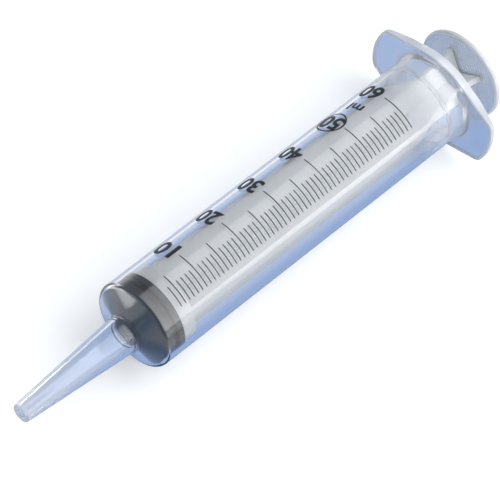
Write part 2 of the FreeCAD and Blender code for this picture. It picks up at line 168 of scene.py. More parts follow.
def draw_wire(name, corners, closed):
    """A wire through the corners in the XY plane, left in edit mode."""
    object_mode()
    bpy.ops.mesh.primitive_plane_add(size=1)
    wire = bpy.context.object
    wire.name = name
    wire.data.name = name
    edit(wire)
    bpy.ops.mesh.merge(type="CENTER")
    bpy.ops.transform.translate(value=(*corners[0], 0))
    for here, there in zip(corners, corners[1:]):
        step = (there[0] - here[0], there[1] - here[1], 0)
        bpy.ops.mesh.extrude_region_move(TRANSFORM_OT_translate={"value": step})
    if closed:
        ends = [Vector((*corners[0], 0)), Vector((*corners[-1], 0))]
        pick(wire, "verts", lambda point: any((point.co - end).length < NEAR for end in ends))
        bpy.ops.mesh.edge_face_add()
    return wire


def round_corners(wire, rounds):
    """Rounds corners of a wire; rounds gives each corner and how far off its rounding starts."""
    for corner, reach in rounds:
        place = Vector((*corner, 0))
        pick(wire, "verts", lambda point: (point.co - place).length < NEAR)
        bpy.ops.mesh.bevel(offset=reach, segments=ROUND_SEGMENTS, affect="VERTICES")


def turn(name, outline, closed=True):
    """Turns an outline, whose corners each come with a rounding, about the X axis into a shell."""
    piece = draw_wire(name, [corner for corner, reach in outline], closed)
    round_corners(piece, [(corner, reach) for corner, reach in outline if reach])
    bpy.ops.mesh.select_all(action="SELECT")
    bpy.ops.mesh.spin(steps=STEPS, angle=math.tau, center=(0, 0, 0), axis=(1, 0, 0))
    bpy.ops.mesh.select_all(action="SELECT")
    bpy.ops.mesh.remove_doubles(threshold=NEAR)
    bpy.ops.mesh.normals_make_consistent(inside=False)
    object_mode()
    return piece


def apply_modifier(piece, kind, **settings):
    """Adds a modifier with its settings and applies it at once."""
    object_mode()
    bpy.context.view_layer.objects.active = piece
    piece.select_set(True)
    modifier = piece.modifiers.new(kind.title(), kind)
    for setting, value in settings.items():
        setattr(modifier, setting, value)
    bpy.ops.object.modifier_apply(modifier=modifier.name)


def smooth(piece):
    """Smooth shading, with flat faces kept flat beside their rounded edges."""
    object_mode()
    bpy.context.view_layer.objects.active = piece
    piece.select_set(True)
    bpy.ops.object.shade_smooth_by_angle(angle=SMOOTH_ANGLE)
    apply_modifier(piece, "WEIGHTED_NORMAL", keep_sharp=True)


def mark_edge(piece, strength):
    """Stores a number from 0 to 1 for each point: how much of an edge it is to its material."""
    edge = piece.data.attributes.new("edge", "FLOAT", "POINT")
    for point in piece.data.vertices:
        edge.data[point.index].value = strength(point.co)


def lay_down(piece, body, slot, *nodes):
    """Puts a finished piece in its place, with its place in its mesh, and says what it rides on."""
    object_mode()
    piece.matrix_world = LAID_DOWN
    bpy.context.view_layer.objects.active = piece
    piece.select_set(True)
    bpy.ops.object.transform_apply(location=True, rotation=True, scale=True)
    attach(piece, body)
    if nodes:
        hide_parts(*nodes)
    print(piece.name, "has", len(piece.data.polygons), "faces and rides on", body)


# %% [markdown]
# ## Materials written as sums
# A shader is arithmetic on sockets. A small class wraps a socket and answers to plus, minus and
# times, so that the recipe reads as a sum and each operator adds its Math node. A second class
# stands for the whole node tree: its first method adds any node, and the others are short names
# for the nodes that come again and again.

# %% Sockets that can be added and multiplied
class Wire:
    """One output socket. Arithmetic with it adds Math nodes to its material."""

    def __init__(self, paint, socket):
        self.paint = paint
        self.socket = socket

    def math(self, operation, first, second):
        return self.paint.math(operation, first, second)

    def __add__(self, other):
        return self.math("ADD", self, other)

    __radd__ = __add__

    def __rsub__(self, other):
        return self.math("SUBTRACT", other, self)

    def __mul__(self, other):
        return self.math("MULTIPLY", self, other)

    __rmul__ = __mul__


class Paint:
    """The node tree of one material, of a light or of the world."""

    def __init__(self, owner):
        self.owner = owner
        owner.use_nodes = True
        self.tree = owner.node_tree
        self.tree.nodes.clear()

    def node(self, kind, settings=None, sockets=None, out=0):
        """Adds a node: its settings first, then the values or links of its sockets."""
        made = self.tree.nodes.new(kind)
        for setting, value in (settings or {}).items():
            setattr(made, setting, value)
        for name, value in (sockets or {}).items():
            if isinstance(value, Wire):
                self.tree.links.new(value.socket, made.inputs[name])
            else:
                made.inputs[name].default_value = value
        return Wire(self, made.outputs[out]) if made.outputs else None

    def place(self):
        """Millimetres along and around the syringe, from the Object coordinates."""
        place = self.node("ShaderNodeTexCoord", out="Object")
        return self.node("ShaderNodeMapping", {"vector_type": "TEXTURE"}, {
            "Vector": place, "Location": tip, "Rotation": (0, -math.asin(along.z), 0),
            "Scale": (MILLIMETRE,) * 3})

    def part(self, vector, letter):
        """One of the three numbers of a vector."""
        return self.node("ShaderNodeSeparateXYZ", {}, {"Vector": vector}, letter)

    def edge(self):
        """The number that mark_edge() stored."""
        return self.node("ShaderNodeAttribute", {"attribute_name": "edge"}, out="Fac")

    def noise(self, place, scale, detail=2.0):
        return self.node("ShaderNodeTexNoise", {}, {
            "Vector": place, "Scale": scale, "Detail": detail}, "Fac")

    def mix(self, share, first, second):
        """Colour that goes from first to second as share goes from 0 to 1."""
        return self.node("ShaderNodeMix", {"data_type": "RGBA"}, {0: share, 6: first, 7: second}, 2)

    def math(self, operation, first, second):
        return self.node("ShaderNodeMath", {"operation": operation}, {0: first, 1: second})

    def ramp(self, share, low, high):
        """0 below low, 1 above high, and smooth between them."""
        return self.node("ShaderNodeMapRange", {"interpolation_type": "SMOOTHSTEP"}, {
            "Value": share, "From Min": low, "From Max": high})

    def bump(self, height, distance, strength):
        return self.node("ShaderNodeBump", {}, {
            "Height": height, "Distance": distance, "Strength": strength})

    def principled(self, sockets):
        return self.node("ShaderNodeBsdfPrincipled", {}, sockets)

    def blend(self, share, first, second):
        """Shader that goes from first to second as share goes from 0 to 1."""
        return self.node("ShaderNodeMixShader", {}, {0: share, 1: first, 2: second})

    def surface(self, shader):
        """The finished material, with this shader as its surface."""
        self.node("ShaderNodeOutputMaterial", {}, {"Surface": shader})
        return self.owner


def paint(name):
    """A new, empty material of this name."""
    return Paint(bpy.data.materials.new(name))


def colour(red, green, blue):
    return (red, green, blue, 1.0)


# %% [markdown]
# ## Clear plastic of the barrel
# The barrel is a clear, colourless polypropylene with a cool cast. It is smooth but never perfect:
# the melt leaves slow waves, and the surface is a little duller in some places than in others. At
# the flange's rim and root and along the nozzle the moulding looks hazy, and more so where it
# turns away from the eye. So there are two shaders, a clear and a hazy one. Transmission is a
# plain number on each, and the share between them comes from the numbers stored in the mesh and
# from the angle of view.

# %% Clear plastic
PLASTIC_IOR = 1.49
HAZE_FACE_ON = 0.7
HAZE_TURNED = 0.8


def clear_plastic():
    look = paint("clear_plastic")
    place = look.place()
    cloud = look.noise(place, 0.09)
    fine = look.noise(place, 1.3, 3.0)
    waves = look.noise(place, 0.05, 1.0)
    clear = look.principled({
        "Base Color": look.mix(cloud, colour(0.98, 0.99, 1.0), colour(0.993, 0.997, 1.0)),
        "Roughness": 0.015 + 0.03 * fine,
        "IOR": PLASTIC_IOR,
        "Transmission Weight": 1.0,
        "Normal": look.bump(waves, 0.00002, 0.15),
    })
    hazy = look.principled({
        "Base Color": colour(0.95, 0.965, 1.0),
        "Roughness": 0.14 + 0.1 * fine,
        "IOR": PLASTIC_IOR,
        "Transmission Weight": 0.4,
    })
    facing = look.node("ShaderNodeLayerWeight", {}, {"Blend": 0.5}, "Facing")
    haze = look.edge() * (HAZE_FACE_ON + HAZE_TURNED * facing)
    return look.surface(look.blend(haze, clear, hazy))


CLEAR = clear_plastic()
print("made", CLEAR.name)

# %% [markdown]
# ## Milky plastic of the rod
# The rod is the same plastic without the clarifier, so it scatters light inside. Its thick parts
# look milky, which is subsurface scattering, and the thumb disc is thin enough to see through.
# Where a blade stands behind the disc there is nothing thin, so the disc is milky there too.

# %% Milky plastic
DISC_CLEAR = 0.88
RIM_CLEAR = 0.35
SCATTER_METRES = 0.0015
DISC_FADE = DISC_FRONT - 0.2, DISC_FRONT - 0.02
BLADE_SIDE = RIB_THICKNESS / 2 - 0.1, RIB_THICKNESS / 2 + 0.2
BLADE_END = GUSSET_REACH - 0.2, GUSSET_REACH + 0.2


def clear_of_blades(look, place):
    """1 on the thumb disc where no blade stands behind it, and 0 elsewhere."""
    on_disc = look.ramp(look.part(place, "X"), *DISC_FADE)
    by_blades = look.node("ShaderNodeMapping", {"vector_type": "TEXTURE"}, {
        "Vector": place, "Rotation": (ROD_TURN, 0, 0)})
    off_axis = look.node("ShaderNodeVectorMath", {"operation": "ABSOLUTE"}, {0: by_blades})
    ways = look.part(off_axis, "Y"), look.part(off_axis, "Z")
    beside = look.ramp(look.math("MINIMUM", *ways), *BLADE_SIDE)
    beyond = look.ramp(look.math("MAXIMUM", *ways), *BLADE_END)
    return on_disc * look.math("MAXIMUM", beside, beyond)


def milky_plastic():
    look = paint("milky_plastic")
    place = look.place()
    cloud = look.noise(place, 0.12)
    thick = look.principled({
        "Base Color": look.mix(cloud, colour(0.895, 0.91, 0.93), colour(0.925, 0.94, 0.955)),
        "Roughness": 0.2 + 0.08 * cloud,
        "IOR": PLASTIC_IOR,
        "Transmission Weight": 0.05,
        "Subsurface Weight": 1.0,
        "Subsurface Radius": (1.0, 1.0, 1.0),
        "Subsurface Scale": SCATTER_METRES,
    })
    thin = look.principled({
        "Base Color": colour(0.97, 0.985, 1.0),
        "Roughness": 0.1 + 0.06 * cloud,
        "IOR": PLASTIC_IOR,
        "Transmission Weight": 1.0,
    })
    clear_share = DISC_CLEAR - (DISC_CLEAR - RIM_CLEAR) * look.edge()
    milky = 1 - clear_of_blades(look, place) * clear_share
    return look.surface(look.blend(milky, thin, thick))


MILKY = milky_plastic()
print("made", MILKY.name)

# %% [markdown]
# ## Rubber of the stopper
# The stopper is dark grey rubber with a trace of silicone oil. Its two ribs press on the bore and
# show their grey through the plastic. The groove between them lies in shadow, and that shade is
# painted into its colour as almost black. The distance from the axis tells the ribs from the
# groove, and the distance from the tip tells the cone, which is painted with a blue cast, as it
# looks behind the clear shoulder.

# %% Rubber
# The groove's near-black is painted shade, and the cone's bluer colour is a painted blue cast.
GROOVE_PAINTED_SHADE = colour(0.010, 0.012, 0.016)
SEAL_GREY = colour(0.035, 0.048, 0.062)
CONE_PAINTED_BLUE_CAST = colour(0.034, 0.062, 0.100)
PRESSED_SIDE = SEAL_RADIUS - 0.3, SEAL_RADIUS - 0.05
CONE_BACK = SEAL_START - 0.6, SEAL_START + 0.2


def stopper_rubber():
    look = paint("stopper_rubber")
    place = look.place()
    grain = look.noise(place, 3.0, 4.0)
    flat = look.node("ShaderNodeVectorMath", {"operation": "MULTIPLY"}, {0: place, 1: (0, 1, 1)})
    radius = look.node("ShaderNodeVectorMath", {"operation": "LENGTH"}, {0: flat}, "Value")
    # Painted blue cast: the cone gets the bluer colour.
    on_cone = 1 - look.ramp(look.part(place, "X"), *CONE_BACK)
    # Painted shade: the groove between the ribs gets the near-black colour, and the ribs the
    # rubber's grey.
    side = look.mix(look.ramp(radius, *PRESSED_SIDE), GROOVE_PAINTED_SHADE, SEAL_GREY)
    return look.surface(look.principled({
        "Base Color": look.mix(on_cone, side, CONE_PAINTED_BLUE_CAST),
        "Roughness": 0.32 + 0.15 * grain,
        "Specular IOR Level": 0.3,
        "Normal": look.bump(grain, 0.00003, 0.3),
    }))


RUBBER = stopper_rubber()
print("made", RUBBER.name)

# %% [markdown]
# ## Ink of the scale
# The scale is screen-printed in black. Ink is never evenly thick, so a fine noise lets it vary
# from black to a very dark grey, and makes it duller and glossier in small spots.

# %% Ink
def scale_ink():
    look = paint("scale_ink")
    spots = look.noise(look.place(), 4.0, 3.0)
    tint = look.mix(spots, colour(0.005, 0.005, 0.007), colour(0.018, 0.019, 0.023))
    return look.surface(look.principled({"Base Color": tint, "Roughness": 0.35 + 0.3 * spots}))


INK = scale_ink()
print("made", INK.name)

# %% [markdown]
# ## The barrel: nozzle, shoulder and tube
# The nozzle, the shoulder, the tube and the flange are one moulding, so they are one closed shell,
# walls included. The wire goes along the outside from the tip to the mouth and comes back along
# the bore. Separate shells pushed into each other would show their hidden walls through the clear
# plastic. The flange is turned as a round disc first, with some rings on it that the next step
# needs. Two more rings on the tube let its haze begin softly.

# %% Turn the barrel
TIP_BORE = TIP_RADIUS - NOZZLE_WALL
ROOT_BORE = NOZZLE_ROOT_RADIUS - NOZZLE_WALL
ROOT_ROUND = 1.7
RIM_ROUND = 0.4
MOUTH_RADIUS = BORE + 0.45
FLARE_START = MOUTH - 1.6
BEAD_START = MOUTH - 10.35
BEAD_END = BEAD_START + 1.8
BEAD_RADIUS = BORE - 0.35
BEAD_SLOPE = 0.6
RINGS = 8
TIP_LENGTH = 2.5
NOZZLE_SLOPE = (NOZZLE_ROOT_RADIUS - TIP_RADIUS) / NOZZLE_LENGTH
BORE_SLOPE = (ROOT_BORE - TIP_BORE) / inner_cone(ROOT_BORE)
HAZE_START = FLANGE_FRONT - 20
HAZE_FULL = FLANGE_FRONT - 12


def barrel_outline():
    """Corners of the barrel's section, and how far each is rounded."""
    step = (WING_REACH - RIM_ROUND - TUBE_RADIUS - ROOT_ROUND) / RINGS
    rings = [TUBE_RADIUS + ROOT_ROUND + step * number for number in range(1, RINGS)]
    outside = [
        ((0, TIP_BORE), 0.25),
        ((0, TIP_RADIUS), 0.45),
        ((TIP_LENGTH, TIP_RADIUS + TIP_LENGTH * NOZZLE_SLOPE), 0),
        ((NOZZLE_LENGTH, NOZZLE_ROOT_RADIUS), 0.6),
        ((CONE_END, TUBE_RADIUS), 1.1),
        ((HAZE_START, TUBE_RADIUS), 0),
        ((HAZE_FULL, TUBE_RADIUS), 0),
        ((FLANGE_FRONT, TUBE_RADIUS), ROOT_ROUND),
    ]
    outside += [((FLANGE_FRONT, ring), 0) for ring in rings]
    outside += [((FLANGE_FRONT, WING_REACH), RIM_ROUND), ((MOUTH, WING_REACH), RIM_ROUND)]
    outside += [((MOUTH, ring), 0) for ring in reversed(rings)]
    inside = [
        ((MOUTH, MOUTH_RADIUS), 0.2),
        ((FLARE_START, BORE), 0.3),
        ((BEAD_END, BORE), 0.25),
        ((BEAD_END - BEAD_SLOPE, BEAD_RADIUS), 0.25),
        ((BEAD_START + BEAD_SLOPE, BEAD_RADIUS), 0.25),
        ((BEAD_START, BORE), 0.25),
        ((HAZE_FULL, BORE), 0),
        ((HAZE_START, BORE), 0),
        ((inner_cone(BORE), BORE), 0.5),
        ((inner_cone(ROOT_BORE), ROOT_BORE), 0.4),
        ((TIP_LENGTH, TIP_BORE + TIP_LENGTH * BORE_SLOPE), 0),
    ]
    return outside + inside


barrel = turn("barrel_moulding", barrel_outline())
print("barrel turned:", len(barrel.data.vertices), "points")

# %% [markdown]
# ## The barrel: from round disc to wings
# A syringe's flange is wide where the fingers pull and cut back elsewhere, so that it doesn't
# roll. Its outline is an arc about the axis at each end, straight sides that close towards the
# ends, and a flat arc above and below. Each point of the round disc slides along its own radius
# until the rim lies on that outline. The rim's rounding moves as it is, and the rings inside it
# share the way. The back then sinks towards the ends of the wings.

# %% Slide the rim to the outline of the wings
HALF_HEIGHT = 17.0
SIDE_RADIUS = 22.0
WING_TAPER = math.radians(22)
WING_CORNER = 4.2
WING_TIP_THICKNESS = 1.6
KEPT_RADIUS = TUBE_RADIUS + ROOT_ROUND
SIDE_DROP = SIDE_RADIUS - HALF_HEIGHT
SIDE_DISTANCE = SIDE_RADIUS - SIDE_DROP * math.cos(WING_TAPER)
TIP_HAZE = 0.6
NOZZLE_HAZE = 0.3
ROOT_HAZE = 0.36


def wing_outline(turned):
    """Distance from the axis to the flange's rim, at an angle from the line through the wings."""
    from_end = math.asin(abs(math.sin(turned)))
    line = SIDE_DISTANCE / math.sin(from_end + WING_TAPER)
    arc = -SIDE_DROP * math.sin(from_end)
    arc += math.sqrt(SIDE_RADIUS ** 2 - (SIDE_DROP * math.cos(from_end)) ** 2)
    square = SIDE_DISTANCE - WING_CORNER
    reach = math.sqrt((WING_REACH - WING_CORNER) ** 2 - square ** 2)
    centre = Vector((square * math.sin(WING_TAPER) + reach * math.cos(WING_TAPER),
                     square * math.cos(WING_TAPER) - reach * math.sin(WING_TAPER)))
    corner_end = centre + WING_CORNER * Vector((math.sin(WING_TAPER), math.cos(WING_TAPER)))
    arc_start = math.atan2(SIDE_RADIUS * math.cos(WING_TAPER) - SIDE_DROP,
                           SIDE_RADIUS * math.sin(WING_TAPER))
    if from_end < math.atan2(centre.y, centre.x):
        return WING_REACH
    if from_end < math.atan2(corner_end.y, corner_end.x):
        ray = Vector((math.cos(from_end), math.sin(from_end)))
        off = centre.x * ray.y - centre.y * ray.x
        return centre.dot(ray) + math.sqrt(WING_CORNER ** 2 - off ** 2)
    return line if from_end < arc_start else arc


def shape_flange(piece):
    """Slides the round disc's points to the wings' outline, and thins the wings."""
    whole = WING_REACH - RIM_ROUND - KEPT_RADIUS
    for point in piece.data.vertices:
        radius = math.hypot(point.co.y, point.co.z)
        if point.co.x < FLANGE_FRONT - NEAR or radius < KEPT_RADIUS + NEAR:
            continue
        rim = wing_outline(math.atan2(point.co.z, point.co.y))
        if radius > WING_REACH - RIM_ROUND - NEAR:
            wanted = radius - (WING_REACH - rim)
        else:
            room = rim - RIM_ROUND - KEPT_RADIUS
            wanted = KEPT_RADIUS + (radius - KEPT_RADIUS) / whole * room
        point.co.y *= wanted / radius
        point.co.z *= wanted / radius
        if point.co.x > FLANGE_FRONT + FLANGE_THICKNESS / 2:
            share = (abs(point.co.y) - TUBE_RADIUS) / (WING_REACH - TUBE_RADIUS)
            point.co.x -= max(0, share) * (FLANGE_THICKNESS - WING_TIP_THICKNESS)


def barrel_edge(place):
    """How hazy the barrel is: its tip, its nozzle, and the flange's rim and root."""
    radius = math.hypot(place.y, place.z)
    if place.x < TIP_LENGTH - NEAR:
        return TIP_HAZE
    if place.x < NOZZLE_LENGTH - 1:
        return NOZZLE_HAZE
    if place.x < HAZE_FULL - NEAR:
        return 0.0
    if radius > WING_REACH - RIM_ROUND - NEAR:
        return 1.0
    return 0.0 if radius > KEPT_RADIUS + NEAR else ROOT_HAZE


mark_edge(barrel, barrel_edge)
shape_flange(barrel)
smooth(barrel)
barrel.data.materials.append(CLEAR)
lay_down(barrel, "barrel", "clear_plastic", "barrel")

# %% [markdown]
# ## The stopper
# The stopper is turned from one open outline that starts and ends on the axis, so the shell closes
# at its two poles. Its front is a cone that fills the shoulder, two ribs seal the bore, and the
# hollow in its back holds the head of the rod.

# %% Turn the stopper
NOSE_RADIUS = 3.6
GROOVE_RADIUS = SEAL_RADIUS - 1.0
NECK_RADIUS = 6.25
THROAT_RADIUS = NECK_RADIUS + 0.05
LIP_FRONT = STOPPER_BACK - 1.9
POCKET_FRONT = LIP_FRONT - 5.6
POCKET_RADIUS = 8.7
POCKET_NOSE_RADIUS = 4.6
HEAD_GAP = 0.3
HEAD_BACK = LIP_FRONT - SEAT_GAP
HEAD_RIM_START = HEAD_BACK - 2.0
GROOVE_START = SEAL_START + SEAL_WIDTH
GROOVE_END = GROOVE_START + GROOVE_WIDTH
GROOVE_SLOPE = 0.5
SEAL_ROUND = 0.35
GROOVE_ROUND = 0.25
NOSE = inner_cone(NOSE_RADIUS) + CONE_GAP
stopper = turn("stopper_moulding", [
    ((NOSE, 0), 0),
    ((NOSE, NOSE_RADIUS), 0.4),
    ((SEAL_START, SEAL_RADIUS), SEAL_ROUND),
    ((GROOVE_START, SEAL_RADIUS), SEAL_ROUND),
    ((GROOVE_START + GROOVE_SLOPE, GROOVE_RADIUS), GROOVE_ROUND),
    ((GROOVE_END - GROOVE_SLOPE, GROOVE_RADIUS), GROOVE_ROUND),
    ((GROOVE_END, SEAL_RADIUS), SEAL_ROUND),
    ((STOPPER_BACK, SEAL_RADIUS), SEAL_ROUND),
    ((STOPPER_BACK, THROAT_RADIUS), 0),
    ((LIP_FRONT, THROAT_RADIUS), 0),
    ((LIP_FRONT, POCKET_RADIUS), 0),
    ((HEAD_RIM_START - HEAD_GAP, POCKET_RADIUS), 0),
    ((POCKET_FRONT, POCKET_NOSE_RADIUS), 0),
    ((POCKET_FRONT, 0), 0),
], closed=False)
smooth(stopper)
stopper.data.materials.append(RUBBER)
lay_down(stopper, "stopper", "stopper_rubber", "stopper")

# %% [markdown]
# ## The plunger rod: head, plate and skirt
# The front of the rod is turned: a snap head that sits in the stopper, a neck, and a plate with a
# short skirt that backs the rubber. The rod is one moulding, so its turned and its flat parts are
# joined into one shell at the end with the Boolean modifier, which removes the walls inside.

# %% Turn the head and the skirt
PLATE_RADIUS = BORE - 0.75
SKIRT_END = PLATE_FRONT + 5.3
SKIRT_INSIDE = PLATE_RADIUS - 1.3
rod = turn("plunger_rod_moulding", [
    ((POCKET_FRONT + HEAD_GAP, 0), 0),
    ((POCKET_FRONT + HEAD_GAP, POCKET_NOSE_RADIUS - HEAD_GAP), 0.4),
    ((HEAD_RIM_START, POCKET_RADIUS - HEAD_GAP), 0.4),
    ((HEAD_BACK, POCKET_RADIUS - HEAD_GAP), 0.3),
    ((HEAD_BACK, NECK_RADIUS), 0),
    ((PLATE_FRONT, NECK_RADIUS), 0),
    ((PLATE_FRONT, PLATE_RADIUS), 0.3),
    ((SKIRT_END, PLATE_RADIUS), 0.3),
    ((SKIRT_END, SKIRT_INSIDE), 0.2),
    ((PLATE_BACK, SKIRT_INSIDE), 0.3),
    ((PLATE_BACK, 0), 0),
], closed=False)
print("head and skirt turned:", len(rod.data.vertices), "points")

# %% [markdown]
# ## The plunger rod: crossed ribs
# Two long flat blades cross on the axis and make the four ribs. A blade's outline is drawn as a
# wire, filled and extruded to its thickness. It is wide in the barrel, narrows in a soft S at the
# mouth and widens again into the thumb disc. Its long edges are bevelled, because a moulded edge
# is never sharp and the bevel catches the light.

# %% Extrude the blades
RIB_REACH = BORE - 1.15
RIB_BEVEL = 0.22
WAIST = 8.1
GUSSET_START = DISC_FRONT - 6.0
WAIST_START = GUSSET_START - 9.0
SLOPE_START = WAIST_START - 14.0
CURVE_POINTS = 10


def ease(share):
    """A soft S from 0 to 1."""
    return (1 - math.cos(math.pi * share)) / 2


def blade_edge():
    """Points along one edge of a blade, from the plate to the thumb disc."""
    points = [((PLATE_FRONT + PLATE_BACK) / 2, RIB_REACH)]
    for number in range(CURVE_POINTS + 1):
        share = number / CURVE_POINTS
        points.append((SLOPE_START + share * (WAIST_START - SLOPE_START),
                       RIB_REACH + ease(share) * (WAIST - RIB_REACH)))
    for number in range(CURVE_POINTS + 1):
        share = number / CURVE_POINTS
        points.append((GUSSET_START + share * (DISC_FRONT - GUSSET_START),
                       WAIST + (1 - math.sqrt(1 - share ** 2)) * (GUSSET_REACH - WAIST)))
    points.append(((DISC_FRONT + DISC_BACK) / 2, GUSSET_REACH))
    return points


def make_blade(name, turned):
    """One flat blade, with its middle plane turned about the axis."""
    edge = blade_edge()
    outline = edge + [(x, -y) for x, y in reversed(edge)]
    blade = draw_wire(name, outline, closed=True)
    bpy.ops.mesh.select_all(action="SELECT")
    bpy.ops.transform.translate(value=(0, 0, -RIB_THICKNESS / 2))
    bpy.ops.mesh.edge_face_add()
    bpy.ops.mesh.extrude_region_move(TRANSFORM_OT_translate={"value": (0, 0, RIB_THICKNESS)})
    bpy.ops.mesh.select_all(action="SELECT")
    bpy.ops.mesh.normals_make_consistent(inside=False)
    pick(blade, "edges", lambda line: abs(line.verts[0].co.z - line.verts[1].co.z) < NEAR)
    bpy.ops.mesh.bevel(offset=RIB_BEVEL, segments=3, affect="EDGES")
    object_mode()
    blade.data.transform(Matrix.Rotation(turned, 4, "X"))
    return blade


blades = [make_blade("blade_one", ROD_TURN), make_blade("blade_two", ROD_TURN + math.pi / 2)]
print("blades:", [len(blade.data.polygons) for blade in blades], "faces")

# %% [markdown]
# ## The plunger rod: thumb disc and its ridges
# The disc is turned with well rounded edges, and a ring on each face close to them keeps their
# look off it. Its back has a field of fine parallel ridges for the thumb. One ridge is a bar with
# a bevelled top, and each copy is as long as the round field is wide at its place.

# %% Turn the disc and lay the ridges
DISC_RADIUS = TUBE_RADIUS + 1.0
DISC_ROUND = 0.75
FACE_RING = DISC_RADIUS - DISC_ROUND - 0.4
GRIP_RADIUS = DISC_RADIUS - 2.3
RIDGE_HEIGHT = 0.4
RIDGE_PITCH = 1.1
RIDGE_WIDTH = 0.6
RIDGE_ROOT = 0.5
RIDGE_BEVEL = 0.15
disc = turn("thumb_disc", [
    ((DISC_FRONT, 0), 0),
    ((DISC_FRONT, FACE_RING), 0),
    ((DISC_FRONT, DISC_RADIUS), DISC_ROUND),
    ((DISC_BACK, DISC_RADIUS), DISC_ROUND),
    ((DISC_BACK, FACE_RING), 0),
    ((DISC_BACK, 0), 0),
], closed=False)


def make_ridge():
    """A bar across the middle of the ridged field, with the edges of its top bevelled."""
    object_mode()
    bpy.ops.mesh.primitive_cube_add(size=1)
    ridge = bpy.context.object
    edit(ridge)
    bpy.ops.transform.resize(value=(RIDGE_HEIGHT + RIDGE_ROOT, 2 * GRIP_RADIUS, RIDGE_WIDTH))
    bpy.ops.transform.translate(value=(DISC_BACK + (RIDGE_HEIGHT - RIDGE_ROOT) / 2, 0, 0))
    top = DISC_BACK + RIDGE_HEIGHT
    pick(ridge, "edges", lambda line: all(abs(point.co.x - top) < NEAR for point in line.verts))
    bpy.ops.mesh.bevel(offset=RIDGE_BEVEL, segments=2, affect="EDGES")
    object_mode()
    return ridge


def copy_piece(piece, x=0.0, z=0.0):
    """A copy with a mesh of its own, moved in that mesh."""
    copied = piece.copy()
    copied.data = piece.data.copy()
    copied.data.transform(Matrix.Translation((x, 0, z)))
    bpy.context.scene.collection.objects.link(copied)
    return copied


def join(pieces, name):
    """Joins pieces into one of this name."""
    object_mode()
    for piece in pieces:
        piece.select_set(True)
    bpy.context.view_layer.objects.active = pieces[0]
    bpy.ops.object.join()
    joined = bpy.context.object
    joined.name = name
    joined.data.name = name
    return joined


def fit_to_field(piece):
    """Moves a bar's two ends onto the edge of the round field."""
    for point in piece.data.vertices:
        half = math.sqrt(GRIP_RADIUS ** 2 - point.co.z ** 2)
        point.co.y = math.copysign(half - (GRIP_RADIUS - abs(point.co.y)), point.co.y)


RIDGES_EACH_SIDE = 11
first_ridge = make_ridge()
steps = [number for number in range(-RIDGES_EACH_SIDE, RIDGES_EACH_SIDE + 1) if number]
ridge_row = [first_ridge] + [copy_piece(first_ridge, z=number * RIDGE_PITCH) for number in steps]
for ridge in ridge_row:
    fit_to_field(ridge)
print("ridges:", len(ridge_row))
ridges = join(ridge_row, "ridges")
ridges.data.transform(Matrix.Rotation(ROD_TURN, 4, "X"))

# %% [markdown]
# ## The plunger rod: one shell
# The Boolean modifier adds the blades, the disc and the ridges to the turned front, one after
# another, and leaves one closed shell. The disc's rounded rim is stored as an edge, because it is
# thicker to look through than the disc's faces and looks milkier.

# %% Join the rod into one shell
def rod_edge(place):
    """1 on the rounded rim of the thumb disc, and 0 elsewhere."""
    return float(math.hypot(place.y, place.z) > DISC_RADIUS - DISC_ROUND - NEAR)


for part in [*blades, disc, ridges]:
    apply_modifier(rod, "BOOLEAN", operation="UNION", solver="EXACT", object=part)
    bpy.data.objects.remove(part)
edit(rod)
bpy.ops.mesh.remove_doubles(threshold=NEAR)
object_mode()
mark_edge(rod, rod_edge)
smooth(rod)
rod.data.materials.append(MILKY)
lay_down(rod, "plunger_rod", "milky_plastic", "plunger_rod")

# %% [markdown]
# ## The printed scale
# A screen print lies on the tube as flat artwork rolled round it. So the marks and the numbers are
# made flat, with the length along the tube and the way around it as their two directions, then
# rolled onto the tube, and given the thickness of ink. Flat faces can't follow a curve, so
# everything is first cut into narrow strips. The way around is measured from the line of the tube
# that faces the camera.

# %% Roll flat artwork onto the tube
INK_LIFT = 0.015
INK_THICKNESS = 0.03
STRIP = 0.5
FACING = math.radians(107.5)


def strips(piece):
    """Cuts flat artwork into strips that lie along the tube."""
    edit(piece)
    ways = [point.co.y for point in piece.data.vertices]
    cut = math.floor(min(ways) / STRIP) * STRIP
    while cut < max(ways):
        bpy.ops.mesh.select_all(action="SELECT")
        bpy.ops.mesh.bisect(plane_co=(0, cut, 0), plane_no=(0, 1, 0))
        cut += STRIP
    object_mode()


def roll_on(piece):
    """Rolls artwork onto the tube: x stays, and y becomes the way around it."""
    radius = TUBE_RADIUS + INK_LIFT
    for point in piece.data.vertices:
        turned = FACING + point.co.y / TUBE_RADIUS
        point.co = (point.co.x, radius * math.cos(turned), radius * math.sin(turned))
    edit(piece)
    bpy.ops.mesh.remove_doubles(threshold=NEAR)
    bpy.ops.mesh.normals_make_consistent(inside=False)
    object_mode()
    apply_modifier(piece, "SOLIDIFY", thickness=INK_THICKNESS, offset=1.0)
    piece.data.materials.append(INK)


def arc(degrees):
    """The way around the tube for an angle."""
    return math.radians(degrees) * TUBE_RADIUS


# %% [markdown]
# ### Marks
# There is a mark at each millilitre from 4 to 60. All end on one line. The marks at fives start
# further out and those at tens start furthest out, next to their numbers.

# %% Marks
MARK_WIDTH = 0.36
MARK_END = arc(15.9)
TEN_START = arc(-34.1)
FIVE_START = arc(-25.2)
ONE_START = arc(-11.5)
FIRST_MARK = 4
LAST_MARK = 60


def make_mark(start):
    """A flat mark at the zero of the scale, from start to the line where all marks end."""
    object_mode()
    bpy.ops.mesh.primitive_plane_add(size=1)
    mark = bpy.context.object
    edit(mark)
    bpy.ops.transform.resize(value=(MARK_WIDTH, MARK_END - start, 1))
    bpy.ops.transform.translate(value=(ZERO_MARK, (start + MARK_END) / 2, 0))
    object_mode()
    return mark


def mark_kind(volume):
    """Where the mark for this volume starts."""
    if volume % 10 == 0:
        return TEN_START
    return FIVE_START if volume % 5 == 0 else ONE_START


